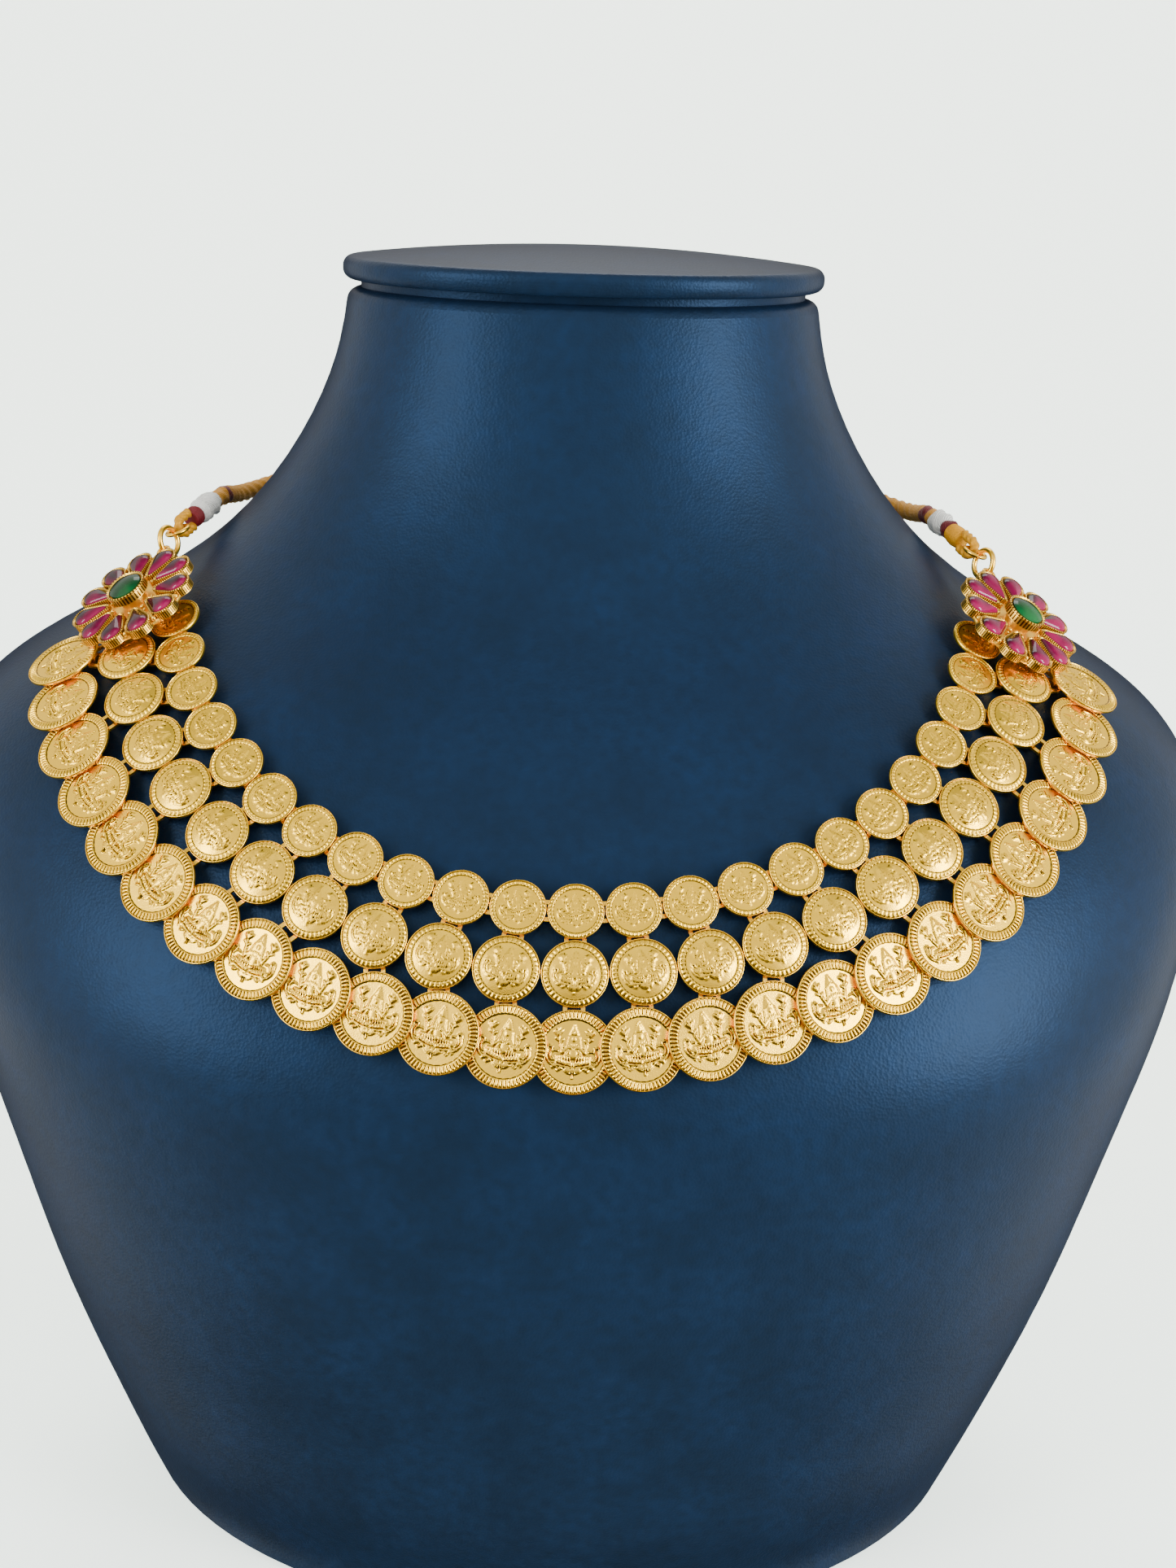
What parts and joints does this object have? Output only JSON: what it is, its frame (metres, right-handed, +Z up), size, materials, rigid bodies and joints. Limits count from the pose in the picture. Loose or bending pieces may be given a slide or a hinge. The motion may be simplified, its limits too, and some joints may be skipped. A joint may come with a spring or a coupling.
{
  "type": "coin necklace on a neck bust",
  "caption": "Three-row coin necklace with a stone-set flower at each end and a thread cord round the neck, lying on a plain padded neck bust.",
  "frame": {"origin": "middle of the bust's flat underside", "axes": "+Z up, -Y the way the bust's chest faces, +X to the right as seen from the front"},
  "size_m": [0.276, 0.1731, 0.2735],
  "materials": {
    "leatherette": "fine-grained",
    "gold": "matte gilt, struck",
    "ruby_stone": "polished cabochon",
    "green_stone": "polished cabochon",
    "yellow_thread": "twisted metallic thread",
    "maroon_thread": "wound silk thread"
  },
  "bodies": {
    "root": {"bust_body": "leatherette", "bust_cap": "leatherette", "large_coin_centre": "gold", "large_coin_left_01": "gold", "large_coin_left_02": "gold", "large_coin_left_03": "gold", "large_coin_left_04": "gold", "large_coin_left_05": "gold", "large_coin_left_06": "gold", "large_coin_left_07": "gold", "large_coin_left_08": "gold", "large_coin_left_09": "gold", "large_coin_left_10": "gold", "large_coin_left_11": "gold", "large_coin_left_12": "gold", "large_coin_right_01": "gold", "large_coin_right_02": "gold", "large_coin_right_03": "gold", "large_coin_right_04": "gold", "large_coin_right_05": "gold", "large_coin_right_06": "gold", "large_coin_right_07": "gold", "large_coin_right_08": "gold", "large_coin_right_09": "gold", "large_coin_right_10": "gold", "large_coin_right_11": "gold", "large_coin_right_12": "gold", "middle_coins": "gold", "small_coins": "gold", "small_row_links": "gold", "large_row_links": "gold", "small_to_middle_links": "gold", "middle_to_large_links": "gold", "flower_links": "gold", "left_flower_setting": "gold", "left_ruby_petals": "ruby_stone", "left_green_stone": "green_stone", "left_flower_ring": "gold", "left_cord_ring": "gold", "left_cord_loop": "yellow_thread", "left_cord_wrap": "maroon_thread", "right_flower_setting": "gold", "right_ruby_petals": "ruby_stone", "right_green_stone": "green_stone", "right_flower_ring": "gold", "right_cord_ring": "gold", "right_cord_loop": "yellow_thread", "right_cord_wrap": "maroon_thread", "neck_cord": "yellow_thread"}
  },
  "joints": []
}
